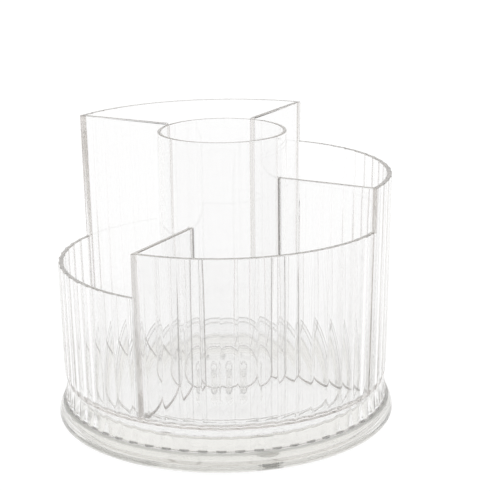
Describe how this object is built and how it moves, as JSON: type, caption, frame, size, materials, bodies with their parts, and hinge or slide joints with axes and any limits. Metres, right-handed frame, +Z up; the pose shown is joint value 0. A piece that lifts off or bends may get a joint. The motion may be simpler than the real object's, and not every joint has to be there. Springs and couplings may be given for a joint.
{
  "type": "rotating makeup organizer",
  "caption": "Clear fluted carousel with stepped compartments round a centre tube, turning on a flared foot, for brushes, pencils and lipsticks.",
  "frame": {"origin": "centre of the footprint, on the surface it stands on, which is also on the axis it turns about", "axes": "+Z up along the axis of rotation; the dividers stand on the X and Y axes, with the low compartment between -X and -Y"},
  "size_m": [0.144, 0.144, 0.123],
  "materials": {
    "clear_body": "clear polystyrene, polished mould, fluted outside and smooth inside",
    "clear_base": "clear polystyrene, polished mould",
    "glide": "natural polypropylene, milky and slippery",
    "clip": "clear polycarbonate",
    "pads": "clear soft vinyl, satin"
  },
  "bodies": {
    "base": {"base_ring": "clear_base", "base_plate": "clear_base", "lower_race": "clear_base", "pivot_post": "clear_base", "glide_ring": "glide", "retaining_clip": "clip", "foot_pads": "pads"},
    "carousel": {"low_wall": "clear_body", "mid_wall": "clear_body", "tall_wall": "clear_body", "top_wall": "clear_body", "low_divider": "clear_body", "mid_divider": "clear_body", "tall_divider": "clear_body", "top_divider": "clear_body", "brush_tube": "clear_body", "compartment_floor": "clear_body", "fluted_skirt": "clear_body", "upper_race": "clear_body", "pivot_hub": "clear_body", "hub_cap": "clear_body"}
  },
  "joints": [
    {"name": "spin", "type": "hinge", "parent": "base", "child": "carousel", "pos_m": [0, 0, 0], "axis": [0, 0, 1], "continuous": true}
  ]
}
